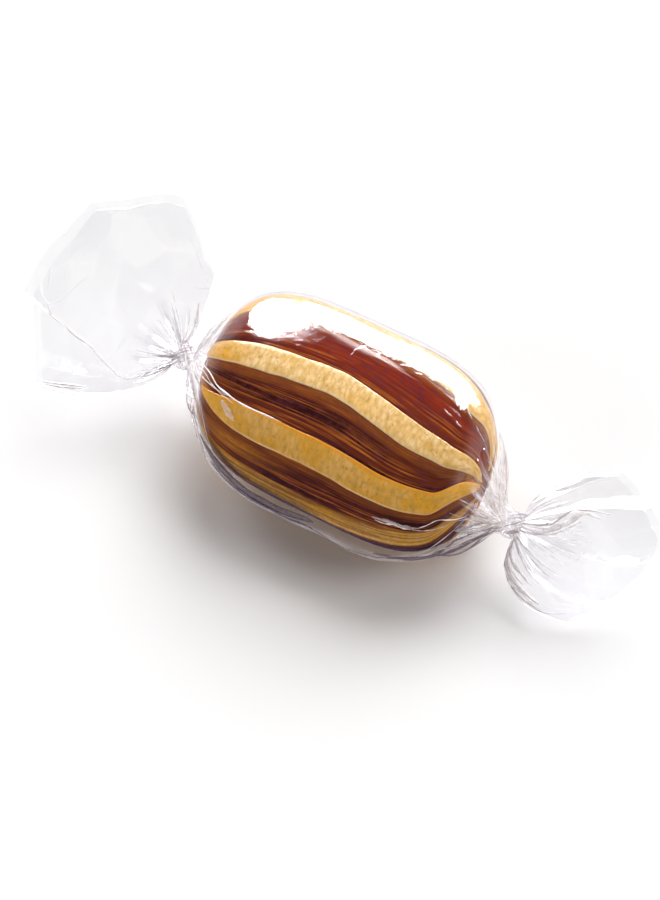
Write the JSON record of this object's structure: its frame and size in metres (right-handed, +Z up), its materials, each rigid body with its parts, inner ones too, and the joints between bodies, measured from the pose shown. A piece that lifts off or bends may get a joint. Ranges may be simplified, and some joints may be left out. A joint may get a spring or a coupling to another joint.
{
  "type": "wrapped mint humbug",
  "caption": "Striped brown and cream boiled mint sweet lying in a clear film wrapper that is twisted shut at both ends.",
  "frame": {"origin": "on the resting plane, under the middle of the wrapped sweet's box", "axes": "+X along the sweet's long axis towards the shorter tail, +Y away from the side that the picture shows, +Z up"},
  "size_m": [0.065, 0.022, 0.0165],
  "materials": {
    "brown_sugar": "glassy boiled sugar, dark brown with lighter streaks",
    "cream_sugar": "pulled opaque sugar, cream to golden yellow",
    "clear_film": "thin clear glossy wrapping film"
  },
  "bodies": {
    "root": {"humbug": "brown_sugar", "stripe_1": "cream_sugar", "stripe_2": "cream_sugar", "stripe_3": "cream_sugar", "stripe_4": "cream_sugar", "stripe_5": "cream_sugar", "stripe_6": "cream_sugar", "stripe_7": "cream_sugar", "stripe_8": "cream_sugar", "wrapper": "clear_film"}
  },
  "joints": []
}
